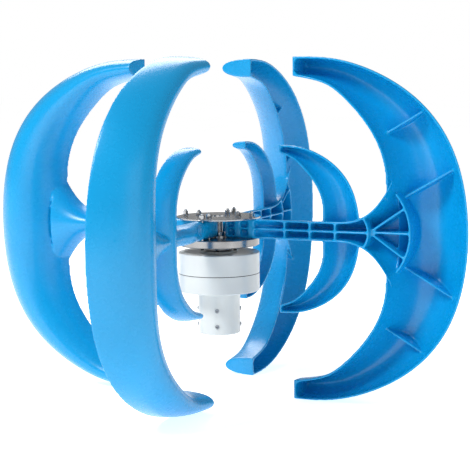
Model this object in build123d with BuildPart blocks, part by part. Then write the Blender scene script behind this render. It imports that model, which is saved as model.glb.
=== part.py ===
from build123d import *
from math import cos, degrees, pi, radians, sin
import os

# Vertical axis wind turbine: four moulded blades, each a large and a small crescent scoop on one arm,
# clamped between two hub plates on the shaft of a permanent magnet generator. A sleeve under the
# generator takes the top of a pole.
# Millimetres. The origin is the centre of the sleeve's mouth, +Z runs up the turning axis, and the
# first blade's arm lies along +X with its open side facing -Y.

# Rotor
blade_count = 4
rotor_radius = 366.0
blade_half_height = 240.5
blade_wall = 3.0
scoop_lip = 1.0

# Large crescent, measured about its own centre on the arm's line
large_centre = 115.5
large_mid_width = 118.0
large_tip_width = 27.0
large_width_power = 1.45
large_mid_depth = 60.0
large_tip_depth = 47.0

# Small crescent
small_centre = 94.0
small_reach = 214.6
small_half_height = 118.6
small_mid_width = 55.7
small_tip_width = 11.5
small_width_power = 1.05
small_mid_depth = 28.0
small_tip_depth = 22.0

# Both crescents
outline_power = 2.25
mid_shoulder = 0.1
tip_shoulder = 1.3
edge_lean = 0.95
section_count = 9

# Arm: a straight root between the hub plates, a swell, and a flare into the large crescent
arm_start = 13.0
arm_half_height = 14.0
arm_open_side = 5.0
arm_root_length = 46.0
arm_root_depth = 6.0
root_shoulder = 1.6
root_steps = 3
swell_length = 64.0
arm_depth = 22.0
arm_shoulder = 1.2
swell_steps = 4
neck_gap = 6.4
flare_lead = 50.0
flare_bite = 13.5
flare_half_height = 74.0
flare_depth = 36.0
flare_shoulder = 0.8
flare_power = 3.2
flare_steps = 6

# Ribs that stiffen the arm and the scoops
rib_thickness = 3.0
rib_overrun = 10.0
arm_rib_places = (103.7, 141.6, 178.8)
inner_arc_reach = 6.0
inner_arc_setback = 1.0
inner_arc_half_height = 20.0
fan_recess = 4.0
fan_reach = 35.4
fan_half_height = 54.0
fan_bow = 20.0
spoke_share = 0.63
spoke_spread = 1.0
scoop_rib_slope = 30.0
scoop_rib_recess = 25.0
scoop_rib_turns = (19.7, 44.4)
scoop_rib_share = 0.6
tip_boss_radius = 2.6

# Hub plates and the bolts through the arms
bolt_radius = 2.0
bolt_clearance = 0.15
bolt_places = (31.2, 52.6)
bolt_boss_radius = 5.0
bolt_head_radius = 3.5
bolt_head_height = 4.0
bolt_head_clearance = 0.3
bolt_socket_flats = 3.0
bolt_nut_flats = 7.0
bolt_nut_height = 5.0
bolt_washer_radius = 4.5
bolt_washer_height = 0.8
bolt_end = 2.2
top_plate_radius = 60.5
top_plate_thickness = 2.0
top_plate_bore = 11.0
top_plate_edge = 0.4
hub_disc_radius = 58.5
hub_disc_thickness = 11.0
hub_disc_edge = 1.0

# Every screw and nut, as shares of its own size
head_edge_share = 0.15
shank_end_share = 0.2
socket_depth_share = 0.6
nut_corner_share = 0.56
nut_edge_share = 0.1

# Shaft
thread_radius = 6.0
thread_clearance = 0.1
thread_end_chamfer = 1.2
shaft_end_gap = 1.5
shaft_nut_flats = 18.0
shaft_nut_height = 6.0
shaft_washer_radius = 11.5
shaft_washer_height = 1.6
collar_radius = 20.0
collar_gap = 1.0
collar_edge = 0.5
journal_radius = 8.5
core_seat_radius = 11.0
drive_pin_radius = 2.5
drive_pin_place = 14.0
drive_pin_depth = 5.0

# Generator housing
housing_radius = 58.5
housing_wall = 10.0
housing_edge = 1.6
lower_housing_height = 26.0
upper_housing_height = 29.5
housing_floor = 5.0
housing_roof = 6.0
roof_lip = 1.5
seal_width = 3.3
seal_height = 1.0
seal_inset = 0.4
neck_height = 10.0
housing_screw_count = 8
housing_screw_inset = 5.9
housing_screw_radius = 2.0
housing_screw_head = 3.4
housing_screw_head_height = 3.6
screw_head_sink = 4.0
housing_screw_turn = 42.8
screw_grip = 12.0
screw_end_gap = 1.0
screw_socket_flats = 2.5

# Bearings, both the same size
bearing_outer_radius = 17.5
bearing_width = 10.0
bearing_seat_wall = 4.5
ball_radius = 2.4
ball_count = 9
ball_clearance = 0.05
race_gap = 2.6
cage_width = 6.5
cage_wall = 1.2
wire_chamber = 6.0
wire_hole_radius = 2.5

# Bearing cap and shaft seal
cap_radius = 27.0
cap_thickness = 2.0
cap_edge = 0.5
cap_bore_gap = 1.0
cap_screw_count = 4
cap_screw_place = 23.6
cap_screw_radius = 1.5
cap_screw_head = 2.6
cap_screw_head_height = 1.5
cap_screw_grip = 4.0
cap_screw_end_gap = 0.5
cap_screw_socket_flats = 1.8
cap_screw_turn = 19.5
shaft_seal_radius = 15.0
shaft_seal_height = 5.0
running_clearance = 0.05

# Magnets, stator and coils
air_gap = 0.8
magnet_count = 10
magnet_thickness = 5.0
magnet_split = 4.0
magnet_outer_radius = 32.0
stator_height = 15.0
stator_yoke = 5.0
tooth_count = 12
tooth_width = 7.0
tooth_bite = 1.0
coil_thickness = 3.0
coil_corner = 2.4
coil_gap = 0.3
coil_setback = 2.0

# Sleeve that takes the pole
sleeve_length = 62.0
sleeve_radius = 30.25
sleeve_bore_radius = 24.3
sleeve_web = 8.0
sleeve_edge = 2.5
sleeve_screw_count = 4
sleeve_screw_place = 17.0
sleeve_screw_radius = 2.5
sleeve_screw_head = 4.6
sleeve_screw_grip = 4.4
sleeve_screw_end_gap = 0.3
sleeve_screw_socket_flats = 3.0
sleeve_screw_socket_depth = 2.0
sleeve_screw_turn = 45.0
set_screw_count = 4
set_screw_turn = 19.5
set_screw_radius = 3.0
set_screw_heights = (12.5, 35.5)
set_screw_back_off = 0.3
set_screw_stand_out = 1.5
set_screw_edge = 0.4
set_screw_socket_flats = 3.0
set_screw_socket_share = 0.5
grommet_radius = 6.0
grommet_lip = 2.0
grommet_lip_height = 1.5
grommet_hole_radius = 3.5

# Heights worked out from the stack
web_base = sleeve_length - sleeve_web
housing_base = sleeve_length
seam_height = housing_base + lower_housing_height
housing_top = seam_height + upper_housing_height
disc_base = housing_top + neck_height
disc_top = disc_base + hub_disc_thickness
arm_height = disc_top + arm_half_height
plate_base = arm_height + arm_half_height
plate_top = plate_base + top_plate_thickness
floor_top = housing_base + housing_floor
roof_base = housing_top - housing_roof
lower_bearing_base = floor_top + wire_chamber
lower_bearing_top = lower_bearing_base + bearing_width
upper_bearing_top = roof_base - roof_lip
upper_bearing_base = upper_bearing_top - bearing_width
cap_top = housing_top + cap_thickness
collar_base = cap_top + collar_gap
shaft_top = plate_base - shaft_end_gap

# Radii worked out from what fits what
housing_inner = housing_radius - housing_wall
housing_screw_place = housing_radius - housing_screw_inset
bearing_seat_outer = bearing_outer_radius + bearing_seat_wall
ball_place = (bearing_outer_radius + journal_radius) / 2
core_radius = magnet_outer_radius - magnet_thickness
tooth_tip_radius = magnet_outer_radius + air_gap
core_base = (lower_bearing_top + upper_bearing_base - stator_height) / 2

# Places along the arm
root_end = arm_start + arm_root_length
neck = small_reach + neck_gap
large_inner = rotor_radius - large_mid_width
flare_start = neck - flare_lead
flare_end = large_inner + flare_bite
inner_arc_top = neck + inner_arc_reach
fan_top = large_inner + fan_reach
fan_end = fan_top - fan_bow
rib_depth = large_mid_depth + rib_overrun
arm_rib_level = -arm_open_side - 2 * scoop_lip

on_base = (Align.CENTER, Align.CENTER, Align.MIN)
below_base = (Align.CENTER, Align.CENTER, Align.MAX)

os.makedirs("parts", exist_ok=True)


def write(part, name):
    """Label one finished piece and save it under its own name."""
    part.label = name
    export_step(part, f"parts/{name}.step")


def drill(radius):
    """A hole right through, along Z, at each current location."""
    Cylinder(radius, 2 * (arm_height + blade_half_height), mode=Mode.SUBTRACT)


def disc(radius, base, top, mode=Mode.ADD):
    """A round slab or bore on the turning axis, from one height to another."""
    with Locations((0, 0, base)):
        Cylinder(radius, top - base, align=on_base, mode=mode)


# ---------------------------------------------------------------- blade
def belly_points(half_width, depth, shoulder, lip):
    """Control points of a cut through a scoop: edge to edge, with its deepest point in the middle.

    A small shoulder gives a V with a rounded bottom, and a large one gives a U.
    """
    full_depth = depth + lip
    middle = (8 - 4 * shoulder) / 3
    return [
        (-half_width, -lip),
        (-edge_lean * half_width, shoulder * full_depth - lip),
        (0, middle * full_depth - lip),
        (edge_lean * half_width, shoulder * full_depth - lip),
        (half_width, -lip),
    ]


def outline_radius(turn, centre, reach, half_height):
    """Distance from a crescent's centre to its outer edge at this angle from the arm."""
    along = cos(radians(turn)) / (reach - centre)
    up = abs(sin(radians(turn))) / half_height
    return (along ** outline_power + up ** outline_power) ** (-1 / outline_power)


def band_width(turn, mid_width, tip_width, width_power):
    """Width of a scoop's mouth at this angle from the arm."""
    return tip_width + (mid_width - tip_width) * cos(radians(turn)) ** width_power


def crescent_section(turn, centre, reach, half_height, mid_width, tip_width, width_power,
                     mid_depth, tip_depth, inset):
    """One cut across a scoop, on the plane that stands at this angle through the crescent's centre."""
    level = cos(radians(turn))
    outer = outline_radius(turn, centre, reach, half_height)
    width = band_width(turn, mid_width, tip_width, width_power)
    depth = tip_depth + (mid_depth - tip_depth) * level ** 2 - inset
    shoulder = tip_shoulder + (mid_shoulder - tip_shoulder) * level
    lip = scoop_lip if inset else 0
    points = belly_points(width / 2 - inset, depth, shoulder, lip)
    middle = outer - width / 2
    plane = Plane(
        origin=(centre, 0, 0),
        x_dir=(cos(radians(turn)), 0, sin(radians(turn))),
        z_dir=(-sin(radians(turn)), 0, cos(radians(turn))),
    )
    with BuildSketch(plane) as section:
        with BuildLine():
            belly = Bezier(*[(middle + across, down) for across, down in points])
            Line(belly @ 1, belly @ 0)
        make_face()
    return section.sketch


def crescent(inset, *sizes):
    """A scoop lofted from its lower tip to its upper tip; inset makes the hollow inside its wall."""
    centre, half_height = sizes[0], sizes[2]
    end_turn = 90 - degrees(inset / half_height)
    with BuildPart() as scoop:
        for number in range(section_count):
            turn = end_turn * (2 * number / (section_count - 1) - 1)
            add(crescent_section(turn, *sizes, inset))
        loft()
    return scoop.part


def arm_section(along, half_height, depth, shoulder, inset):
    """One cut across the arm, open on its -Y side and rounded on its +Y side."""
    lip = arm_open_side + (scoop_lip if inset else 0)
    points = belly_points(half_height - inset, depth - inset, shoulder, lip)
    with BuildSketch(Plane(origin=(along, 0, 0), x_dir=(0, 0, 1), z_dir=(-1, 0, 0))) as section:
        with BuildLine():
            skin = Bezier(*points)
            Line(skin @ 1, skin @ 0)
        make_face()
    return section.sketch


def mix(first, last, share):
    """A value part of the way from one size to another."""
    return first + (last - first) * share


def arm(inset):
    """The arm, lofted from its root between the hub plates to the flare that carries the large scoop."""
    start = arm_start + inset
    with BuildPart() as body:
        for step in range(root_steps):
            along = mix(start, root_end, step / root_steps)
            add(arm_section(along, arm_half_height, arm_root_depth, root_shoulder, inset))
        for step in range(swell_steps):
            share = (1 - cos(pi * step / swell_steps)) / 2
            along = root_end + swell_length * step / swell_steps
            depth = mix(arm_root_depth, arm_depth, share)
            shoulder = mix(root_shoulder, arm_shoulder, share)
            add(arm_section(along, arm_half_height, depth, shoulder, inset))
        add(arm_section(root_end + swell_length, arm_half_height, arm_depth, arm_shoulder, inset))
        for step in range(flare_steps + 1):
            share = step / flare_steps
            along = mix(flare_start, flare_end, share)
            half_height = mix(arm_half_height, flare_half_height, share ** flare_power)
            depth = mix(arm_depth, flare_depth, share)
            shoulder = mix(arm_shoulder, flare_shoulder, share)
            add(arm_section(along, half_height, depth, shoulder, inset))
        loft()
    return body.part


def upright_plane(level):
    """A plane facing the open side of the first blade, this far behind the scoops' edges."""
    return Plane(origin=(0, level, 0), x_dir=(1, 0, 0), z_dir=(0, -1, 0))


large_sizes = (large_centre, rotor_radius, blade_half_height, large_mid_width, large_tip_width,
               large_width_power, large_mid_depth, large_tip_depth)
small_sizes = (small_centre, small_reach, small_half_height, small_mid_width, small_tip_width,
               small_width_power, small_mid_depth, small_tip_depth)
large_scoop = crescent(0, *large_sizes)
small_scoop = crescent(0, *small_sizes)
arm_skin = arm(0)
large_hollow = crescent(blade_wall, *large_sizes)
small_hollow = crescent(blade_wall, *small_sizes)
arm_hollow = arm(blade_wall)

# Arm ribs: one long rib on the centre line, bulkheads, the bars that the bolts pass through, the curved
# rib at the neck and a post in each corner of the large scoop's tips.
with BuildPart() as arm_ribs:
    with BuildSketch(upright_plane(arm_rib_level)):
        with BuildLine():
            Line((arm_start, 0), (inner_arc_top, 0))
        trace(line_width=rib_thickness)
        for place in arm_rib_places:
            with BuildLine():
                Line((place, -arm_half_height), (place, arm_half_height))
            trace(line_width=rib_thickness)
        with BuildLine():
            ThreePointArc(
                (neck - inner_arc_setback, -inner_arc_half_height),
                (inner_arc_top, 0),
                (neck - inner_arc_setback, inner_arc_half_height),
            )
        trace(line_width=rib_thickness)
        for place in bolt_places:
            with Locations((place, 0)):
                Rectangle(2 * bolt_boss_radius, 2 * arm_half_height)
        for side in (-1, 1):
            for inset in (blade_wall, large_tip_width - blade_wall):
                with Locations((large_centre + blade_wall, side * (blade_half_height - inset))):
                    Circle(tip_boss_radius)
    extrude(amount=-rib_depth)

# Fan ribs: three spokes and a curved rib where the arm spreads into the large scoop.
with BuildPart() as fan_ribs:
    with BuildSketch(upright_plane(fan_recess)):
        with BuildLine():
            Line((inner_arc_top - rib_thickness, 0), (fan_top, 0))
        trace(line_width=rib_thickness)
        for side in (-1, 1):
            with BuildLine():
                Line(
                    (inner_arc_top, side * spoke_spread),
                    (fan_top - fan_bow * spoke_share ** 2, side * fan_half_height * spoke_share),
                )
            trace(line_width=rib_thickness)
        with BuildLine():
            ThreePointArc((fan_end, -fan_half_height), (fan_top, 0), (fan_end, fan_half_height))
        trace(line_width=rib_thickness)
    extrude(amount=-rib_depth)

# Scoop ribs: straight plates across the hollow of the large scoop, with their tops well below its edges.
with BuildPart() as scoop_ribs:
    with BuildSketch(upright_plane(scoop_rib_recess)):
        for turn in scoop_rib_turns:
            width = band_width(turn, large_mid_width, large_tip_width, large_width_power)
            reach = outline_radius(turn, *large_sizes[:3]) - width / 2
            for side in (-1, 1):
                middle = Vector(reach * cos(radians(turn)), side * reach * sin(radians(turn)))
                middle = middle + Vector(large_centre, 0)
                slope = radians(side * scoop_rib_slope)
                half_rib = Vector(cos(slope), sin(slope)) * width * scoop_rib_share
                with BuildLine():
                    Line(middle - half_rib, middle + half_rib)
                trace(line_width=rib_thickness)
    extrude(amount=-rib_depth)

# What is taken out behind the skin, with the ribs left standing in it.
with BuildPart() as large_pockets:
    add(large_hollow)
    add(arm_ribs.part, mode=Mode.SUBTRACT)
    add(fan_ribs.part, mode=Mode.SUBTRACT)
    add(scoop_ribs.part, mode=Mode.SUBTRACT)

with BuildPart() as small_pockets:
    add(small_hollow)
    add(arm_skin, mode=Mode.SUBTRACT)

with BuildPart() as arm_pockets:
    add(arm_hollow)
    add(arm_ribs.part, mode=Mode.SUBTRACT)
    add(fan_ribs.part, mode=Mode.SUBTRACT)

with BuildPart() as first_blade:
    add(large_scoop)
    add(arm_skin)
    add(small_scoop)
    add(large_pockets.part, mode=Mode.SUBTRACT)
    add(small_pockets.part, mode=Mode.SUBTRACT)
    add(arm_pockets.part, mode=Mode.SUBTRACT)
    for place in bolt_places:
        with Locations((place, 0, 0)):
            drill(bolt_radius + bolt_clearance)

for number in range(blade_count):
    with BuildPart() as blade:
        with Locations((0, 0, arm_height)):
            add(first_blade.part, rotation=(0, 0, 360 / blade_count * number))
    write(blade.part, f"blade_{number + 1}")


# ---------------------------------------------------------------- screws and nuts
def cap_screw(head_radius, head_height, radius, length, flats):
    """A socket head screw, its head's underside at the origin and its shank down -Z."""
    with BuildPart() as screw:
        Cylinder(head_radius, head_height, align=on_base)
        fillet(screw.edges().sort_by(Axis.Z)[-1], head_height * head_edge_share)
        Cylinder(radius, length, align=below_base)
        chamfer(screw.edges().sort_by(Axis.Z)[0], radius * shank_end_share)
        with BuildSketch(Plane.XY.offset(head_height)):
            RegularPolygon(flats / 2, 6, major_radius=False)
        extrude(amount=-head_height * socket_depth_share, mode=Mode.SUBTRACT)
    return screw.part


def hex_nut(flats, height, bore):
    """A hexagon nut standing on the XY plane, its corners turned down top and bottom."""
    with BuildPart() as turned_blank:
        Cylinder(flats * nut_corner_share, height, align=on_base)
        chamfer(turned_blank.edges().filter_by(GeomType.CIRCLE), height * nut_edge_share)
    with BuildPart() as nut:
        with BuildSketch():
            RegularPolygon(flats / 2, 6, major_radius=False)
        extrude(amount=height)
        add(turned_blank.part, mode=Mode.INTERSECT)
        drill(bore)
    return nut.part


# ---------------------------------------------------------------- hub
with BuildPart() as top_hub_plate:
    disc(top_plate_radius, plate_base, plate_top)
    fillet(top_hub_plate.edges().filter_by(GeomType.CIRCLE), top_plate_edge)
    disc(top_plate_bore, plate_base, plate_top, Mode.SUBTRACT)
    for place in bolt_places:
        with PolarLocations(place, blade_count):
            drill(bolt_radius + bolt_clearance)
write(top_hub_plate.part, "top_hub_plate")

with BuildPart() as hub_disc:
    disc(hub_disc_radius, disc_base, disc_top)
    chamfer(hub_disc.edges().filter_by(GeomType.CIRCLE), hub_disc_edge)
    disc(thread_radius + thread_clearance, disc_base, disc_top, Mode.SUBTRACT)
    for place in bolt_places:
        with PolarLocations(place, blade_count):
            drill(bolt_radius + bolt_clearance)
        with Locations((0, 0, disc_base)):
            with PolarLocations(place, blade_count):
                Cylinder(
                    bolt_head_radius + bolt_head_clearance,
                    bolt_head_height + bolt_head_clearance,
                    align=on_base,
                    mode=Mode.SUBTRACT,
                )
    with Locations((0, 0, disc_base)):
        with PolarLocations(drive_pin_place, 2):
            Cylinder(drive_pin_radius, drive_pin_depth, align=on_base, mode=Mode.SUBTRACT)
write(hub_disc.part, "hub_disc")

bolt_seat = disc_base + bolt_head_clearance + bolt_head_height
washer_base = plate_top
nut_base = washer_base + bolt_washer_height
bolt_top = nut_base + bolt_nut_height + bolt_end
bolt_length = bolt_top - bolt_seat
blade_bolt = cap_screw(bolt_head_radius, bolt_head_height, bolt_radius, bolt_length, bolt_socket_flats)
with BuildPart() as blade_bolts:
    with Locations(Location((0, 0, bolt_seat), (180, 0, 0))):
        for place in bolt_places:
            with PolarLocations(place, blade_count):
                add(blade_bolt)
write(blade_bolts.part, "blade_bolts")

with BuildPart() as bolt_washers:
    with Locations((0, 0, washer_base)):
        for place in bolt_places:
            with PolarLocations(place, blade_count):
                Cylinder(bolt_washer_radius, bolt_washer_height, align=on_base)
    for place in bolt_places:
        with PolarLocations(place, blade_count):
            drill(bolt_radius + bolt_clearance)
write(bolt_washers.part, "bolt_washers")

lock_nut = hex_nut(bolt_nut_flats, bolt_nut_height, bolt_radius)
with BuildPart() as bolt_nuts:
    with Locations((0, 0, nut_base)):
        for place in bolt_places:
            with PolarLocations(place, blade_count):
                add(lock_nut)
write(bolt_nuts.part, "bolt_nuts")


# ---------------------------------------------------------------- shaft and what turns with it
with BuildPart() as shaft:
    disc(journal_radius, lower_bearing_base - collar_gap, collar_base)
    disc(core_seat_radius, lower_bearing_top, upper_bearing_base)
    disc(collar_radius, collar_base, disc_base)
    fillet(shaft.edges().filter_by(GeomType.CIRCLE).group_by(SortBy.RADIUS)[-1], collar_edge)
    disc(thread_radius, disc_base, shaft_top)
    chamfer(shaft.edges().sort_by(Axis.Z)[-1], thread_end_chamfer)
    with Locations((0, 0, disc_base)):
        with PolarLocations(drive_pin_place, 2):
            Cylinder(drive_pin_radius, drive_pin_depth, align=below_base, mode=Mode.SUBTRACT)
write(shaft.part, "shaft")

with BuildPart() as drive_pins:
    with Locations((0, 0, disc_base)):
        with PolarLocations(drive_pin_place, 2):
            Cylinder(drive_pin_radius, 2 * drive_pin_depth)
write(drive_pins.part, "drive_pins")

with BuildPart() as shaft_washer:
    disc(shaft_washer_radius, disc_top, disc_top + shaft_washer_height)
    disc(thread_radius + thread_clearance, disc_top, disc_top + shaft_washer_height, Mode.SUBTRACT)
write(shaft_washer.part, "shaft_washer")

clamp_nut = hex_nut(shaft_nut_flats, shaft_nut_height, thread_radius)
with BuildPart() as shaft_nut:
    with Locations((0, 0, disc_top + shaft_washer_height)):
        add(clamp_nut)
write(shaft_nut.part, "shaft_nut")

with BuildPart() as magnet_carrier:
    disc(core_radius, core_base, core_base + stator_height)
    disc(core_seat_radius, core_base, core_base + stator_height, Mode.SUBTRACT)
write(magnet_carrier.part, "magnet_carrier")

with BuildPart() as magnets:
    disc(magnet_outer_radius, core_base, core_base + stator_height)
    disc(core_radius, core_base, core_base + stator_height, Mode.SUBTRACT)
    with Locations((0, 0, core_base)):
        with PolarLocations(magnet_outer_radius, magnet_count):
            Box(4 * magnet_thickness, magnet_split, stator_height, align=on_base, mode=Mode.SUBTRACT)
write(magnets.part, "magnets")


# ---------------------------------------------------------------- bearings
def bearing(base, prefix):
    """A deep groove ball bearing in four nodes: two races, the balls and the cage that spaces them."""
    middle = base + bearing_width / 2
    with BuildPart() as groove:
        with Locations((0, 0, middle)):
            Torus(ball_place, ball_radius + ball_clearance)
    with BuildPart() as inner_race:
        disc(ball_place - race_gap / 2, base, base + bearing_width)
        disc(journal_radius, base, base + bearing_width, Mode.SUBTRACT)
        add(groove.part, mode=Mode.SUBTRACT)
    write(inner_race.part, f"{prefix}_inner_race")
    with BuildPart() as outer_race:
        disc(bearing_outer_radius, base, base + bearing_width)
        disc(ball_place + race_gap / 2, base, base + bearing_width, Mode.SUBTRACT)
        add(groove.part, mode=Mode.SUBTRACT)
    write(outer_race.part, f"{prefix}_outer_race")
    with BuildPart() as balls:
        with Locations((0, 0, middle)):
            with PolarLocations(ball_place, ball_count):
                Sphere(ball_radius)
    write(balls.part, f"{prefix}_balls")
    with BuildPart() as cage:
        with Locations((0, 0, middle)):
            Cylinder(ball_place + cage_wall / 2, cage_width)
            Cylinder(ball_place - cage_wall / 2, cage_width, mode=Mode.SUBTRACT)
            with PolarLocations(ball_place, ball_count):
                Cylinder(
                    ball_radius + ball_clearance,
                    4 * cage_wall,
                    rotation=(0, 90, 0),
                    mode=Mode.SUBTRACT,
                )
    write(cage.part, f"{prefix}_cage")


bearing(lower_bearing_base, "lower_bearing")
bearing(upper_bearing_base, "upper_bearing")


# ---------------------------------------------------------------- generator housing
with BuildPart() as upper_housing:
    disc(housing_radius, seam_height, housing_top)
    fillet(upper_housing.edges().sort_by(Axis.Z)[-1], housing_edge)
    disc(housing_inner, seam_height, roof_base, Mode.SUBTRACT)
    disc(bearing_seat_outer, upper_bearing_base, housing_top)
    disc(bearing_outer_radius, upper_bearing_base, upper_bearing_top, Mode.SUBTRACT)
    disc((bearing_outer_radius + journal_radius) / 2, upper_bearing_top, housing_top, Mode.SUBTRACT)
    disc(shaft_seal_radius, housing_top - shaft_seal_height, housing_top, Mode.SUBTRACT)
    with PolarLocations(housing_screw_place, housing_screw_count, start_angle=housing_screw_turn):
        drill(housing_screw_radius + bolt_clearance)
    with Locations((0, 0, housing_top)):
        with PolarLocations(housing_screw_place, housing_screw_count, start_angle=housing_screw_turn):
            Cylinder(
                housing_screw_head + bolt_clearance,
                screw_head_sink,
                align=below_base,
                mode=Mode.SUBTRACT,
            )
        with PolarLocations(cap_screw_place, cap_screw_count, start_angle=cap_screw_turn):
            Cylinder(cap_screw_radius, cap_screw_grip, align=below_base, mode=Mode.SUBTRACT)
write(upper_housing.part, "upper_housing")

with BuildPart() as lower_housing:
    disc(housing_radius, housing_base, seam_height)
    fillet(lower_housing.edges().sort_by(Axis.Z)[0], housing_edge)
    disc(housing_inner, floor_top, seam_height, Mode.SUBTRACT)
    disc(bearing_seat_outer, housing_base, lower_bearing_top)
    disc(bearing_outer_radius, lower_bearing_base, lower_bearing_top, Mode.SUBTRACT)
    disc(shaft_seal_radius, floor_top, lower_bearing_base, Mode.SUBTRACT)
    disc(grommet_radius, housing_base, floor_top, Mode.SUBTRACT)
    with Locations(Plane(origin=(0, 0, floor_top + wire_chamber / 2), z_dir=(1, 0, 0))):
        Cylinder(wire_hole_radius, bearing_seat_outer + wire_hole_radius, align=on_base, mode=Mode.SUBTRACT)
    with Locations((0, 0, seam_height)):
        with PolarLocations(housing_screw_place, housing_screw_count, start_angle=housing_screw_turn):
            Cylinder(housing_screw_radius, screw_grip, align=below_base, mode=Mode.SUBTRACT)
    with Locations((0, 0, housing_base)):
        with PolarLocations(sleeve_screw_place, sleeve_screw_count, start_angle=sleeve_screw_turn):
            Cylinder(sleeve_screw_radius, sleeve_screw_grip, align=on_base, mode=Mode.SUBTRACT)
    with BuildSketch(Plane.XY.offset(seam_height)):
        Circle(housing_radius)
        Circle(housing_radius - seal_width, mode=Mode.SUBTRACT)
    extrude(amount=-seal_height, mode=Mode.SUBTRACT)
write(lower_housing.part, "lower_housing")

with BuildPart() as housing_seal:
    disc(housing_radius - seal_inset, seam_height - seal_height, seam_height)
    disc(housing_radius - seal_width, seam_height - seal_height, seam_height, Mode.SUBTRACT)
write(housing_seal.part, "housing_seal")

screw_seat = housing_top - screw_head_sink
long_screw = cap_screw(
    housing_screw_head,
    housing_screw_head_height,
    housing_screw_radius,
    screw_seat - seam_height + screw_grip - screw_end_gap,
    screw_socket_flats,
)
with BuildPart() as housing_screws:
    with Locations((0, 0, screw_seat)):
        with PolarLocations(housing_screw_place, housing_screw_count, start_angle=housing_screw_turn):
            add(long_screw)
write(housing_screws.part, "housing_screws")

with BuildPart() as bearing_cap:
    disc(cap_radius, housing_top, cap_top)
    chamfer(bearing_cap.edges().sort_by(Axis.Z)[-1], cap_edge)
    disc(journal_radius + cap_bore_gap, housing_top, cap_top, Mode.SUBTRACT)
    with PolarLocations(cap_screw_place, cap_screw_count, start_angle=cap_screw_turn):
        drill(cap_screw_radius + bolt_clearance)
write(bearing_cap.part, "bearing_cap")

short_screw = cap_screw(
    cap_screw_head,
    cap_screw_head_height,
    cap_screw_radius,
    cap_thickness + cap_screw_grip - cap_screw_end_gap,
    cap_screw_socket_flats,
)
with BuildPart() as cap_screws:
    with Locations((0, 0, cap_top)):
        with PolarLocations(cap_screw_place, cap_screw_count, start_angle=cap_screw_turn):
            add(short_screw)
write(cap_screws.part, "cap_screws")

with BuildPart() as shaft_seal:
    disc(shaft_seal_radius, housing_top - shaft_seal_height, housing_top)
    disc(journal_radius + running_clearance, housing_top - shaft_seal_height, housing_top, Mode.SUBTRACT)
write(shaft_seal.part, "shaft_seal")


# ---------------------------------------------------------------- stator
tooth_length = housing_inner - stator_yoke - tooth_tip_radius
with BuildPart() as stator_core:
    disc(housing_inner, core_base, core_base + stator_height)
    disc(housing_inner - stator_yoke, core_base, core_base + stator_height, Mode.SUBTRACT)
    with Locations((0, 0, core_base)):
        with PolarLocations(tooth_tip_radius - tooth_bite, tooth_count):
            Box(
                tooth_length + 2 * tooth_bite,
                tooth_width,
                stator_height,
                align=(Align.MIN, Align.CENTER, Align.MIN),
            )
    disc(tooth_tip_radius, core_base, core_base + stator_height, Mode.SUBTRACT)
write(stator_core.part, "stator_core")

coil_start = tooth_tip_radius + coil_setback
coil_length = tooth_length - 2 * coil_setback
coil_opening = tooth_width + 2 * coil_gap
with BuildPart() as coil:
    Box(coil_length, coil_opening + 2 * coil_thickness, stator_height + 2 * coil_gap + 2 * coil_thickness)
    fillet(coil.edges().filter_by(Axis.X), coil_corner)
    Box(coil_length, coil_opening, stator_height + 2 * coil_gap, mode=Mode.SUBTRACT)
with BuildPart() as stator_coils:
    with Locations((0, 0, core_base + stator_height / 2)):
        with PolarLocations(coil_start + coil_length / 2, tooth_count):
            add(coil.part)
write(stator_coils.part, "stator_coils")


# ---------------------------------------------------------------- sleeve for the pole
with BuildPart() as pole_sleeve:
    disc(sleeve_radius, 0, sleeve_length)
    fillet(pole_sleeve.edges().sort_by(Axis.Z)[0], sleeve_edge)
    disc(sleeve_bore_radius, 0, web_base, Mode.SUBTRACT)
    disc(grommet_radius, web_base, sleeve_length, Mode.SUBTRACT)
    disc(grommet_radius + grommet_lip, web_base, web_base + grommet_lip_height, Mode.SUBTRACT)
    with Locations((0, 0, web_base)):
        with PolarLocations(sleeve_screw_place, sleeve_screw_count, start_angle=sleeve_screw_turn):
            Cylinder(sleeve_screw_radius + bolt_clearance, sleeve_web, align=on_base, mode=Mode.SUBTRACT)
            Cone(
                sleeve_screw_head + bolt_clearance,
                sleeve_screw_radius + bolt_clearance,
                sleeve_screw_head - sleeve_screw_radius,
                align=on_base,
                mode=Mode.SUBTRACT,
            )
    for height in set_screw_heights:
        with Locations((0, 0, height)):
            with PolarLocations(0, set_screw_count, start_angle=set_screw_turn):
                Cylinder(
                    set_screw_radius,
                    sleeve_radius + set_screw_stand_out,
                    rotation=(0, 90, 0),
                    align=on_base,
                    mode=Mode.SUBTRACT,
                )
write(pole_sleeve.part, "pole_sleeve")

with BuildPart() as countersunk_screw:
    Cone(
        sleeve_screw_head,
        sleeve_screw_radius,
        sleeve_screw_head - sleeve_screw_radius,
        align=on_base,
    )
    Cylinder(sleeve_screw_radius, sleeve_web + sleeve_screw_grip - sleeve_screw_end_gap, align=on_base)
    with BuildSketch():
        RegularPolygon(sleeve_screw_socket_flats / 2, 6, major_radius=False)
    extrude(amount=sleeve_screw_socket_depth, mode=Mode.SUBTRACT)
with BuildPart() as sleeve_screws:
    with Locations((0, 0, web_base)):
        with PolarLocations(sleeve_screw_place, sleeve_screw_count, start_angle=sleeve_screw_turn):
            add(countersunk_screw.part)
write(sleeve_screws.part, "sleeve_screws")

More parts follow.
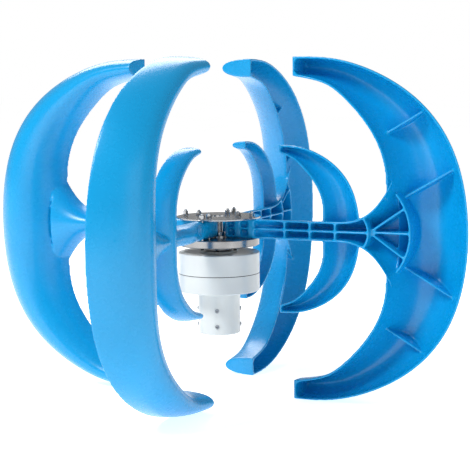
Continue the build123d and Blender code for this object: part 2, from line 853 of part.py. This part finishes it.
set_screw_length = sleeve_radius - sleeve_bore_radius - set_screw_back_off + set_screw_stand_out
with BuildPart() as set_screw:
    Cylinder(set_screw_radius, set_screw_length, align=on_base)
    chamfer(set_screw.edges().filter_by(GeomType.CIRCLE), set_screw_edge)
    with BuildSketch(Plane.XY.offset(set_screw_length)):
        RegularPolygon(set_screw_socket_flats / 2, 6, major_radius=False)
    extrude(amount=-set_screw_length * set_screw_socket_share, mode=Mode.SUBTRACT)
with BuildPart() as set_screws:
    for height in set_screw_heights:
        with Locations((0, 0, height)):
            with PolarLocations(sleeve_bore_radius + set_screw_back_off, set_screw_count, set_screw_turn):
                add(set_screw.part, rotation=(0, 90, 0))
write(set_screws.part, "set_screws")

with BuildPart() as cable_grommet:
    disc(grommet_radius, web_base, floor_top + grommet_lip_height)
    disc(grommet_radius + grommet_lip, web_base, web_base + grommet_lip_height)
    disc(grommet_radius + grommet_lip, floor_top, floor_top + grommet_lip_height)
    disc(grommet_hole_radius, web_base, floor_top + grommet_lip_height, Mode.SUBTRACT)
write(cable_grommet.part, "cable_grommet")
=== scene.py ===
# %% [markdown]
# # A vertical axis wind turbine
# Four blue moulded blades are clamped between two metal plates and spin on a small white generator. The
# design, with every size and every joint, comes in first as a fixed frame. This lesson then gives it its
# finishes, rebuilds the moulded blades as softer meshes, cuts the screw threads and lights the studio.

# %% Load the frame
import math

import bmesh
import bpy
from mathutils import Matrix, Vector


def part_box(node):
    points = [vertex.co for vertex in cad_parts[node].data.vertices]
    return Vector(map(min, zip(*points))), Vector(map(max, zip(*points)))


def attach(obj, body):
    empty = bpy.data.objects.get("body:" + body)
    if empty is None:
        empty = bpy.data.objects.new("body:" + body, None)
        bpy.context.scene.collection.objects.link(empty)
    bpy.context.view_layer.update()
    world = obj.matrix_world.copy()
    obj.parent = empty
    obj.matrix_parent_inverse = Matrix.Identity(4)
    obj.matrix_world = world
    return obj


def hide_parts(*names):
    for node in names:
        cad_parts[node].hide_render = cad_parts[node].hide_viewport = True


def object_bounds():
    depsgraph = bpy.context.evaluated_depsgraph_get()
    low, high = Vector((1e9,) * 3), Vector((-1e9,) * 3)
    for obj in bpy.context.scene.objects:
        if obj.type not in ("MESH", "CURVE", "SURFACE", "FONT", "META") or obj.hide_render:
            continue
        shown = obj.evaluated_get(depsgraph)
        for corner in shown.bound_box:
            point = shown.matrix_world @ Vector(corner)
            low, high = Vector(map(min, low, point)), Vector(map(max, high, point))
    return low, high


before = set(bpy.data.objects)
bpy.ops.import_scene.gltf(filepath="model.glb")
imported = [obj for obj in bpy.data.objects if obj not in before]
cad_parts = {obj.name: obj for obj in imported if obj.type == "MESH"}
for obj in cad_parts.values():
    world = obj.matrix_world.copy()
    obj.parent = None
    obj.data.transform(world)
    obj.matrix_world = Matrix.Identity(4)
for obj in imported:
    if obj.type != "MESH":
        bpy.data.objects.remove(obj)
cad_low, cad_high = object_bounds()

MM = 0.001
print("frame loaded:", len(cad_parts), "parts, size", [round(v, 3) for v in cad_high - cad_low])

# %% [markdown]
# ## The camera
# A long lens from nearly two metres away keeps the four blades close to their true proportions. The camera
# stands a little above the arms and looks slightly down on them, so the top plate shows as a thin ellipse.

# %% Camera
ROTOR_TURN = math.radians(25.8)
CAMERA_DISTANCE = 1907.9 * MM
CAMERA_RISE = 204.0 * MM
CAMERA_YAW = math.radians(0.706)
CAMERA_PITCH = math.radians(6.452)
CAMERA_ROLL = math.radians(-0.553)
LENS_MM = 102.57

disc_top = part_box("hub_disc")[1].z
plate_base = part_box("top_hub_plate")[0].z
arm_level = (disc_top + plate_base) / 2

camera_data = bpy.data.cameras.new("studio_camera")
camera_data.lens = LENS_MM
camera = bpy.data.objects.new("studio_camera", camera_data)
bpy.context.scene.collection.objects.link(camera)
camera_place = (
    CAMERA_DISTANCE * math.sin(ROTOR_TURN),
    -CAMERA_DISTANCE * math.cos(ROTOR_TURN),
    arm_level + CAMERA_RISE,
)
camera.matrix_world = (
    Matrix.Translation(camera_place)
    @ Matrix.Rotation(ROTOR_TURN - CAMERA_YAW, 4, "Z")
    @ Matrix.Rotation(math.pi / 2 - CAMERA_PITCH, 4, "X")
    @ Matrix.Rotation(CAMERA_ROLL, 4, "Z")
)
bpy.context.scene.camera = camera
print("camera at", [round(v, 3) for v in camera_place])

# %% [markdown]
# ## Colour and node helpers
# Colours are picked as sRGB hex values, but shaders work in linear light, so one function converts them.
# Every finish is a small network on the surface shader, and one function adds a node with its numbers and
# its links. A finish has two close tones, and a pattern decides where each one shows. Grain and tool marks
# are given in millimetres and turned into each texture's own scale.


# %% Helpers
TONE_SPAN = (0.3, 0.7)


def linear(hex_colour):
    """An sRGB hex colour as the linear values that shaders use."""
    channels = [int(hex_colour[i:i + 2], 16) / 255 for i in (1, 3, 5)]
    return tuple(c / 12.92 if c <= 0.04045 else ((c + 0.055) / 1.055) ** 2.4 for c in channels)


def start_material(name):
    """A new material, its node tree and its surface shader."""
    made = bpy.data.materials.new(name)
    made.use_nodes = True
    return made, made.node_tree, made.node_tree.nodes["Principled BSDF"]


def add_node(tree, kind, values=None, links=None, **settings):
    """Add a node with its settings, its sockets' numbers, and links from other nodes' outputs."""
    node = tree.nodes.new(kind)
    for name, value in settings.items():
        setattr(node, name, value)
    for socket, value in (values or {}).items():
        node.inputs[socket].default_value = value
    for socket, output in (links or {}).items():
        tree.links.new(output, node.inputs[socket])
    return node


def per_metre(millimetres):
    """The noise scale whose features are about this many millimetres across."""
    return 1 / (millimetres * MM)


def rings_per_metre(millimetres):
    """The wave scale whose rings or bands are this many millimetres apart."""
    return 2 * math.pi / (20 * millimetres * MM)


def two_tones(ramp, first, second):
    """Let a colour ramp run from one finish tone to another."""
    for element, place, tone in zip(ramp.color_ramp.elements, TONE_SPAN, (first, second)):
        element.position = place
        element.color = (*linear(tone), 1)


# %% [markdown]
# ## The studio
# What you see in a gloss surface is mostly the lamps, so they are broad and gentle: the strongest softbox
# is high on the left, a weak one fills in from the right, and one behind lights the rims. The background
# paper is white, but the room's own light is dimmer than the paper looks, so the undersides and hollows
# keep their depth.


# %% Floor and lights
PAPER_GLOW = 0.8
FLOOR_GAP = 0.5 * MM
FLOOR_HALF = 30.0
AIR_LIGHT = 0.26
AIR_AS_SEEN = 1.0


def white_background_paper():
    """Matt paper, lit a little from behind, with the faintest unevenness."""
    made, tree, shader = start_material("white_background_paper")
    place = add_node(tree, "ShaderNodeTexCoord").outputs["Object"]
    clouds = add_node(tree, "ShaderNodeTexNoise", {"Scale": per_metre(400)}, {"Vector": place})
    tone = add_node(tree, "ShaderNodeValToRGB", links={"Fac": clouds.outputs["Fac"]})
    two_tones(tone, "#f7f7f7", "#fafafa")
    tree.links.new(tone.outputs["Color"], shader.inputs["Base Color"])
    tree.links.new(tone.outputs["Color"], shader.inputs["Emission Color"])
    shader.inputs["Emission Strength"].default_value = PAPER_GLOW
    shader.inputs["Roughness"].default_value = 0.95
    shader.inputs["Specular IOR Level"].default_value = 0.1
    return made


floor_level = cad_low.z - FLOOR_GAP
floor_mesh = bpy.data.meshes.new("studio_floor")
corners = [(x * FLOOR_HALF, y * FLOOR_HALF, floor_level) for x, y in ((-1, -1), (1, -1), (1, 1), (-1, 1))]
floor_mesh.from_pydata(corners, [], [(0, 1, 2, 3)])
floor_mesh.materials.append(white_background_paper())
studio_floor = bpy.data.objects.new("studio_floor", floor_mesh)
bpy.context.scene.collection.objects.link(studio_floor)

hub_centre = Vector((0, 0, arm_level))
to_camera = Matrix.Rotation(ROTOR_TURN, 4, "Z")


def softbox(name, power, size, right, towards, up):
    """A square area lamp placed as seen from the camera, in metres from the hub, and aimed at the hub."""
    lamp = bpy.data.lights.new(name, "AREA")
    lamp.shape = "SQUARE"
    lamp.size = size
    lamp.energy = power
    stand = bpy.data.objects.new(name, lamp)
    bpy.context.scene.collection.objects.link(stand)
    stand.location = hub_centre + to_camera @ Vector((right, -towards, up))
    stand.rotation_euler = (hub_centre - stand.location).to_track_quat("-Z", "Y").to_euler()


softbox("key_softbox", power=66, size=0.9, right=-1.7, towards=1.3, up=2.1)
softbox("fill_softbox", power=5, size=1.5, right=1.6, towards=2.0, up=0.6)
softbox("rim_softbox", power=30, size=1.5, right=-0.3, towards=-2.0, up=1.6)

studio_air = bpy.data.worlds.new("studio_air")
bpy.context.scene.world = studio_air
studio_air.use_nodes = True
air = studio_air.node_tree
seen_directly = add_node(air, "ShaderNodeLightPath").outputs["Is Camera Ray"]
air_strength = add_node(
    air, "ShaderNodeMapRange", {"To Min": AIR_LIGHT, "To Max": AIR_AS_SEEN}, {"Value": seen_directly}
)
air.nodes["Background"].inputs["Color"].default_value = (1, 1, 1, 1)
air.links.new(air_strength.outputs["Result"], air.nodes["Background"].inputs["Strength"])
bpy.context.scene.view_settings.view_transform = "Standard"
print("floor at", round(floor_level, 4), "m, lamps:", len(bpy.data.lights))

# %% [markdown]
# ## Blue moulded plastic
# The blades are injection moulded ABS, coloured right through. A polished mould gives ABS a clear gloss
# with a very slight waviness that softens every reflection. Two slower patterns sit under it: a drift of
# the blue where the plastic flowed at different speeds, and rubbed patches where the gloss is duller.


# %% Injection moulded ABS
def injection_moulded_abs():
    made, tree, shader = start_material("injection_moulded_blue_abs")
    place = add_node(tree, "ShaderNodeTexCoord").outputs["Object"]
    flow = add_node(tree, "ShaderNodeTexNoise", {"Scale": per_metre(80), "Detail": 3.0}, {"Vector": place})
    tone = add_node(tree, "ShaderNodeValToRGB", links={"Fac": flow.outputs["Fac"]})
    two_tones(tone, "#0098d4", "#049edb")
    tree.links.new(tone.outputs["Color"], shader.inputs["Base Color"])
    rubbed = add_node(
        tree,
        "ShaderNodeTexNoise",
        {"Scale": per_metre(12), "Detail": 4.0, "Roughness": 0.6},
        {"Vector": place},
    )
    gloss = add_node(
        tree, "ShaderNodeMapRange", {"To Min": 0.22, "To Max": 0.32}, {"Value": rubbed.outputs["Fac"]}
    )
    tree.links.new(gloss.outputs["Result"], shader.inputs["Roughness"])
    peel = add_node(tree, "ShaderNodeTexNoise", {"Scale": per_metre(6), "Detail": 1.0}, {"Vector": place})
    relief = add_node(
        tree, "ShaderNodeBump", {"Strength": 0.15, "Distance": 0.04 * MM}, {"Height": peel.outputs["Fac"]}
    )
    tree.links.new(relief.outputs["Normal"], shader.inputs["Normal"])
    shader.inputs["IOR"].default_value = 1.54
    shader.inputs["Specular IOR Level"].default_value = 0.45
    return made


blue_abs = injection_moulded_abs()
print("made", blue_abs.name)

# %% [markdown]
# ## Plate and disc
# The top plate is stainless sheet buffed almost to a mirror. The disc under the arms is turned aluminium. A
# lathe and a buffing wheel both leave rings round the turning axis, so the distance from that axis drives a
# wave. The real rings are a third of a millimetre apart, too fine to see, so they are drawn about three
# times as coarse.


# %% Turned and buffed discs
def ringed_metal(name, dark, light, ring_mm, smooth, dull, ring_depth_mm):
    """A metal disc with rings round the turning axis and a drifting haze over them."""
    made, tree, shader = start_material(name)
    place = add_node(tree, "ShaderNodeTexCoord").outputs["Object"]
    flat = add_node(tree, "ShaderNodeVectorMath", {1: (1, 1, 0)}, {0: place}, operation="MULTIPLY")
    rings = add_node(
        tree,
        "ShaderNodeTexWave",
        {"Scale": rings_per_metre(ring_mm), "Distortion": 0.5, "Detail": 2.0},
        {"Vector": flat.outputs["Vector"]},
        wave_type="RINGS",
        rings_direction="SPHERICAL",
    )
    haze = add_node(tree, "ShaderNodeTexNoise", {"Scale": per_metre(16), "Detail": 4.0}, {"Vector": place})
    tone = add_node(tree, "ShaderNodeValToRGB", links={"Fac": haze.outputs["Fac"]})
    two_tones(tone, dark, light)
    gloss = add_node(
        tree, "ShaderNodeMapRange", {"To Min": smooth, "To Max": dull}, {"Value": haze.outputs["Fac"]}
    )
    relief = add_node(
        tree,
        "ShaderNodeBump",
        {"Strength": 0.3, "Distance": ring_depth_mm * MM},
        {"Height": rings.outputs["Fac"]},
    )
    tree.links.new(tone.outputs["Color"], shader.inputs["Base Color"])
    tree.links.new(gloss.outputs["Result"], shader.inputs["Roughness"])
    tree.links.new(relief.outputs["Normal"], shader.inputs["Normal"])
    shader.inputs["Metallic"].default_value = 1.0
    return made


buffed_sheet = ringed_metal(
    "buffed_stainless_sheet", "#a9abad", "#bdbebf", ring_mm=0.9, smooth=0.12, dull=0.22, ring_depth_mm=0.01
)
turned_disc = ringed_metal(
    "turned_aluminium", "#8e8e8f", "#a5a5a5", ring_mm=1.0, smooth=0.16, dull=0.26, ring_depth_mm=0.02
)
print("made", buffed_sheet.name, "and", turned_disc.name)

# %% [markdown]
# ## Fasteners, shaft and bearings
# These are all steel, and differ in how they were made: cold formed and plated nuts, a shaft with a film of
# oil, painted darker as shade for its place between the plates and under the disc, screws turned black by an
# oxide bath, and bearing races ground to a mirror. One recipe serves them all. A fine grain changes the tone,
# the gloss and the relief together, as it does on real steel.


# %% Steels
def grained_metal(name, dark, light, roughness, grain_mm):
    """A formed or machined metal with a grain of about this size."""
    made, tree, shader = start_material(name)
    place = add_node(tree, "ShaderNodeTexCoord").outputs["Object"]
    grain = add_node(
        tree,
        "ShaderNodeTexNoise",
        {"Scale": per_metre(grain_mm), "Detail": 4.0, "Roughness": 0.6},
        {"Vector": place},
    )
    tone = add_node(tree, "ShaderNodeValToRGB", links={"Fac": grain.outputs["Fac"]})
    two_tones(tone, dark, light)
    gloss = add_node(
        tree,
        "ShaderNodeMapRange",
        {"To Min": roughness * 0.8, "To Max": roughness * 1.2},
        {"Value": grain.outputs["Fac"]},
    )
    relief = add_node(
        tree, "ShaderNodeBump", {"Strength": 0.15, "Distance": 0.01 * MM}, {"Height": grain.outputs["Fac"]}
    )
    tree.links.new(tone.outputs["Color"], shader.inputs["Base Color"])
    tree.links.new(gloss.outputs["Result"], shader.inputs["Roughness"])
    tree.links.new(relief.outputs["Normal"], shader.inputs["Normal"])
    shader.inputs["Metallic"].default_value = 1.0
    return made


plated_steel = grained_metal("bright_plated_steel", "#a6a8ab", "#cccecf", roughness=0.14, grain_mm=2.0)
# The shaft's darker steel tone is painted shade, for the shadow between the plates and under the hub disc.
oiled_steel_painted_shade = grained_metal("oiled_steel_with_painted_shade", "#6c6e72", "#8b8d91", roughness=0.22, grain_mm=2.5)
black_oxide = grained_metal("black_oxide_steel", "#18181a", "#2a2b2e", roughness=0.4, grain_mm=1.5)
hardened_steel = grained_metal("plain_hardened_steel", "#96999c", "#b6b8ba", roughness=0.3, grain_mm=1.5)
nickel_plate = grained_metal("nickel_plated_magnet", "#a8a5a0", "#c9c6c0", roughness=0.2, grain_mm=3.0)
ground_steel = grained_metal("ground_bearing_steel", "#a3a5a8", "#c6c8ca", roughness=0.14, grain_mm=1.2)
print("made six steels and platings")

# %% [markdown]
# ## White enamel
# The generator and the sleeve are castings sprayed with gloss white enamel. Sprayed paint is thick enough
# to fill small marks, and dries with an orange peel of its own. A thin clear coat on the shader stands for
# the layer of resin that rises to the top of enamel and gives it its sharp highlight.


# %% Sprayed enamel
def sprayed_enamel():
    made, tree, shader = start_material("sprayed_white_enamel")
    place = add_node(tree, "ShaderNodeTexCoord").outputs["Object"]
    drift = add_node(tree, "ShaderNodeTexNoise", {"Scale": per_metre(40), "Detail": 4.0}, {"Vector": place})
    tone = add_node(tree, "ShaderNodeValToRGB", links={"Fac": drift.outputs["Fac"]})
    two_tones(tone, "#d2d6d5", "#dadedc")
    gloss = add_node(
        tree, "ShaderNodeMapRange", {"To Min": 0.3, "To Max": 0.42}, {"Value": drift.outputs["Fac"]}
    )
    peel = add_node(tree, "ShaderNodeTexNoise", {"Scale": per_metre(3.5), "Detail": 1.0}, {"Vector": place})
    relief = add_node(
        tree, "ShaderNodeBump", {"Strength": 0.2, "Distance": 0.03 * MM}, {"Height": peel.outputs["Fac"]}
    )
    tree.links.new(tone.outputs["Color"], shader.inputs["Base Color"])
    tree.links.new(gloss.outputs["Result"], shader.inputs["Roughness"])
    tree.links.new(relief.outputs["Normal"], shader.inputs["Normal"])
    shader.inputs["IOR"].default_value = 1.5
    shader.inputs["Coat Weight"].default_value = 0.3
    shader.inputs["Coat Roughness"].default_value = 0.1
    return made


white_enamel = sprayed_enamel()
print("made", white_enamel.name)

# %% [markdown]
# ## Rubber
# The gasket in the seam, the shaft seal and the cable grommet are moulded black rubber with a dusty bloom,
# which is both paler and duller than the clean rubber between it.


# %% Rubber
def moulded_rubber():
    made, tree, shader = start_material("moulded_black_rubber")
    place = add_node(tree, "ShaderNodeTexCoord").outputs["Object"]
    bloom = add_node(tree, "ShaderNodeTexNoise", {"Scale": per_metre(6), "Detail": 4.0}, {"Vector": place})
    tone = add_node(tree, "ShaderNodeValToRGB", links={"Fac": bloom.outputs["Fac"]})
    two_tones(tone, "#0b0b0c", "#18191a")
    gloss = add_node(
        tree, "ShaderNodeMapRange", {"To Min": 0.55, "To Max": 0.7}, {"Value": bloom.outputs["Fac"]}
    )
    relief = add_node(
        tree, "ShaderNodeBump", {"Strength": 0.2, "Distance": 0.03 * MM}, {"Height": bloom.outputs["Fac"]}
    )
    tree.links.new(tone.outputs["Color"], shader.inputs["Base Color"])
    tree.links.new(gloss.outputs["Result"], shader.inputs["Roughness"])
    tree.links.new(relief.outputs["Normal"], shader.inputs["Normal"])
    return made


# %% [markdown]
# ## Sheet stack and windings
# Inside, the stator is a stack of half millimetre steel sheets and the coils are turns of enamelled copper
# wire, so both carry bands up the axis at the real spacing of their sheets and turns.


# %% Stacked and wound metal
def banded_metal(name, dark, light, band_mm, roughness):
    """Sheets or wire turns stacked along the axis, one band for each."""
    made, tree, shader = start_material(name)
    place = add_node(tree, "ShaderNodeTexCoord").outputs["Object"]
    bands = add_node(
        tree,
        "ShaderNodeTexWave",
        {"Scale": rings_per_metre(band_mm), "Distortion": 0.2},
        {"Vector": place},
        bands_direction="Z",
    )
    tone = add_node(tree, "ShaderNodeValToRGB", links={"Fac": bands.outputs["Fac"]})
    two_tones(tone, dark, light)
    relief = add_node(
        tree, "ShaderNodeBump", {"Strength": 0.5, "Distance": 0.1 * MM}, {"Height": bands.outputs["Fac"]}
    )
    tree.links.new(tone.outputs["Color"], shader.inputs["Base Color"])
    tree.links.new(relief.outputs["Normal"], shader.inputs["Normal"])
    shader.inputs["Roughness"].default_value = roughness
    shader.inputs["Metallic"].default_value = 1.0
    return made


black_rubber = moulded_rubber()
stacked_sheets = banded_metal("stacked_electrical_steel", "#2c2d30", "#55575c", band_mm=0.5, roughness=0.5)
wound_copper = banded_metal("wound_enamelled_copper", "#6e2f14", "#c8743a", band_mm=0.8, roughness=0.3)
print("made", black_rubber.name, stacked_sheets.name, wound_copper.name)

# %% [markdown]
# ## Dressing the frame
# A part whose shape is already right keeps it and only gets its finish. Names that are not listed below are
# the rings, balls, cages and pins, which are all ground bearing steel.

# %% Give every part its finish
BLADES = [f"blade_{number}" for number in (1, 2, 3, 4)]
FINISHES = {
    buffed_sheet: ["top_hub_plate"],
    turned_disc: ["hub_disc"],
    plated_steel: ["blade_bolts", "bolt_washers", "bolt_nuts", "shaft_washer", "shaft_nut"],
    # The shaft and the magnet carrier take the steel that is painted darker as shade.
    oiled_steel_painted_shade: ["shaft", "magnet_carrier"],
    nickel_plate: ["magnets"],
    white_enamel: ["pole_sleeve", "lower_housing", "upper_housing", "bearing_cap"],
    black_rubber: ["housing_seal", "shaft_seal", "cable_grommet"],
    black_oxide: ["housing_screws", "cap_screws", "sleeve_screws"],
    hardened_steel: ["set_screws"],
    stacked_sheets: ["stator_core"],
    wound_copper: ["stator_coils"],
    blue_abs: BLADES,
}
finish_of = {name: finish for finish, names in FINISHES.items() for name in names}
for name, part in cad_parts.items():
    part.data.materials.clear()
    part.data.materials.append(finish_of.get(name, ground_steel))
print("finishes given to", len(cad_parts), "parts")

# %% [markdown]
# ## Moulded blades
# A mould never leaves a knife edge: every rim and rib is rounded and every inside corner has a small
# fillet, because sharp corners tear when the part is pulled out. Rounding each edge by hand would be slow
# where ribs meet a curved skin, so the blade is turned into a fine even skin of voxels instead. A few
# rounds of smoothing then soften all its edges together, and thinning keeps the mesh light.

# %% Round the first blade
SEAM_MERGE = 0.002 * MM
VOXEL = 1.3 * MM
SMOOTH_FACTOR = 0.5
SMOOTH_ROUNDS = 5
TRIANGLE_LIMIT = 150000


def flatten_modifiers(piece):
    """Turn a piece and its modifiers into one plain mesh."""
    evaluated = piece.evaluated_get(bpy.context.evaluated_depsgraph_get())
    plain = bpy.data.meshes.new_from_object(evaluated)
    piece.modifiers.clear()
    piece.data = plain
    return plain


cad_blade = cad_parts["blade_1"].data
merged = bmesh.new()
merged.from_mesh(cad_blade)
bmesh.ops.remove_doubles(merged, verts=merged.verts, dist=SEAM_MERGE)
rounded_mesh = bpy.data.meshes.new("rounded_blade")
merged.to_mesh(rounded_mesh)
merged.free()
first_blade = bpy.data.objects.new("moulded_blade_1", rounded_mesh)
bpy.context.scene.collection.objects.link(first_blade)

even_skin = first_blade.modifiers.new("even_skin", "REMESH")
even_skin.mode = "VOXEL"
even_skin.voxel_size = VOXEL
soften = first_blade.modifiers.new("soften", "SMOOTH")
soften.factor = SMOOTH_FACTOR
soften.iterations = SMOOTH_ROUNDS
skin = flatten_modifiers(first_blade)
skin_triangles = sum(len(face.vertices) - 2 for face in skin.polygons)
thin = first_blade.modifiers.new("thin", "DECIMATE")
thin.ratio = min(1.0, TRIANGLE_LIMIT / skin_triangles)
moulded = flatten_modifiers(first_blade)
print("blade skin:", skin_triangles, "triangles, thinned to", len(moulded.polygons))

# %% [markdown]
# ## Four from one mould
# All four blades come out of the same mould, so the other three are copies of the first, each turned a
# quarter turn further round the shaft. Each one stands in for the plain blade of the frame and spins with
# the rotor.

# %% Turn the other three
for number, name in enumerate(BLADES):
    if number:
        mesh = moulded.copy()
        mesh.transform(Matrix.Rotation(math.tau * number / len(BLADES), 4, "Z"))
        blade = bpy.data.objects.new(f"moulded_{name}", mesh)
        bpy.context.scene.collection.objects.link(blade)
    else:
        mesh, blade = moulded, first_blade
    mesh.materials.clear()
    mesh.materials.append(blue_abs)
    mesh.shade_smooth()
    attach(blade, "rotor")
    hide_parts(name)
print("blades standing in:", ", ".join(BLADES))

# %% [markdown]
# ## Screw threads
# A thread is one ridge wound round a rod, so it is a small square set on its corner and carried along a
# spiral, with its inner half sunk in the rod. Geometry Nodes make the spiral, sweep the square and put a
# copy at every point they are given. One tree with named sizes cuts the thread of the shaft and of all
# eight bolts.


# %% The thread tree
POINTS_PER_TURN = 40
RIDGE_CORNERS = 4


def thread_tree():
    """A node group that winds a thread at every point: radius, pitch, length, ridge and finish are inputs."""
    tree = bpy.data.node_groups.new("wound_thread", "GeometryNodeTree")
    tree.interface.new_socket("Places", in_out="INPUT", socket_type="NodeSocketGeometry")
    for name in ("Radius", "Pitch", "Length", "Ridge"):
        tree.interface.new_socket(name, in_out="INPUT", socket_type="NodeSocketFloat")
    tree.interface.new_socket("Finish", in_out="INPUT", socket_type="NodeSocketMaterial")
    tree.interface.new_socket("Thread", in_out="OUTPUT", socket_type="NodeSocketGeometry")
    given = add_node(tree, "NodeGroupInput").outputs
    turns = add_node(
        tree, "ShaderNodeMath", links={0: given["Length"], 1: given["Pitch"]}, operation="DIVIDE"
    )
    spiral = add_node(
        tree,
        "GeometryNodeCurveSpiral",
        {"Resolution": POINTS_PER_TURN},
        {
            "Rotations": turns.outputs[0],
            "Start Radius": given["Radius"],
            "End Radius": given["Radius"],
            "Height": given["Length"],
        },
    )
    ridge = add_node(
        tree,
        "GeometryNodeCurvePrimitiveCircle",
        {"Resolution": RIDGE_CORNERS},
        {"Radius": given["Ridge"]},
    )
    swept = add_node(
        tree,
        "GeometryNodeCurveToMesh",
        {"Fill Caps": True},
        {"Curve": spiral.outputs["Curve"], "Profile Curve": ridge.outputs["Curve"]},
    )
    placed = add_node(
        tree,
        "GeometryNodeInstanceOnPoints",
        links={"Points": given["Places"], "Instance": swept.outputs["Mesh"]},
    )
    real = add_node(tree, "GeometryNodeRealizeInstances", links={"Geometry": placed.outputs["Instances"]})
    finished = add_node(
        tree,
        "GeometryNodeSetMaterial",
        links={"Geometry": real.outputs["Geometry"], "Material": given["Finish"]},
    )
    add_node(tree, "NodeGroupOutput", links={"Thread": finished.outputs["Geometry"]})
    return tree


WOUND_THREAD = thread_tree()


def cut_thread(name, places, sizes, finish):
    """Wind a thread at each place, turn it into a plain mesh and let it ride on the rotor."""
    start = bpy.data.meshes.new(name)
    start.from_pydata(places, [], [])
    piece = bpy.data.objects.new(name, start)
    bpy.context.scene.collection.objects.link(piece)
    wound = piece.modifiers.new("wound_thread", "NODES")
    wound.node_group = WOUND_THREAD
    values = {**sizes, "Finish": finish}
    for socket in WOUND_THREAD.interface.items_tree:
        if socket.name in values:
            wound[socket.identifier] = values[socket.name]
    mesh = flatten_modifiers(piece)
    faced_outward = bmesh.new()
    faced_outward.from_mesh(mesh)
    bmesh.ops.recalc_face_normals(faced_outward, faces=faced_outward.faces)
    faced_outward.to_mesh(mesh)
    faced_outward.free()
    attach(piece, "rotor")
    print(name, "has", len(mesh.polygons), "faces")


# %% [markdown]
# ## Threads of the shaft and the bolts
# The shaft has the standard coarse thread of a 12 mm rod and the bolts that of a 4 mm one. Each thread
# starts on top of its nut and stops a little short of the rod's end, so the ridge never stands above the
# rod.

# %% Cut the threads
SHAFT_THREAD_RADIUS = 6.0 * MM
SHAFT_THREAD_PITCH = 1.75 * MM
SHAFT_THREAD_SINK = 0.15 * MM
SHAFT_RIDGE = 0.5 * MM
BOLT_THREAD_RADIUS = 2.0 * MM
BOLT_THREAD_PITCH = 0.7 * MM
BOLT_THREAD_SINK = 0.05 * MM
BOLT_RIDGE = 0.22 * MM
BOLT_CIRCLES = (31.2 * MM, 52.6 * MM)
THREAD_MARGIN = 0.8 * MM

shaft_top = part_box("shaft")[1].z
nut_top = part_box("shaft_nut")[1].z
# The shaft thread takes the same steel, painted darker as shade.
cut_thread(
    "shaft_thread",
    [(0, 0, nut_top)],
    {
        "Radius": SHAFT_THREAD_RADIUS - SHAFT_THREAD_SINK,
        "Pitch": SHAFT_THREAD_PITCH,
        "Length": shaft_top - nut_top - 2 * THREAD_MARGIN,
        "Ridge": SHAFT_RIDGE,
    },
    oiled_steel_painted_shade,
)

bolt_nut_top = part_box("bolt_nuts")[1].z
bolt_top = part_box("blade_bolts")[1].z
arm_directions = [math.tau * number / len(BLADES) for number in range(len(BLADES))]
bolt_places = [
    (circle * math.cos(direction), circle * math.sin(direction), bolt_nut_top)
    for circle in BOLT_CIRCLES
    for direction in arm_directions
]
cut_thread(
    "bolt_threads",
    bolt_places,
    {
        "Radius": BOLT_THREAD_RADIUS - BOLT_THREAD_SINK,
        "Pitch": BOLT_THREAD_PITCH,
        "Length": bolt_top - bolt_nut_top - THREAD_MARGIN,
        "Ridge": BOLT_RIDGE,
    },
    plated_steel,
)
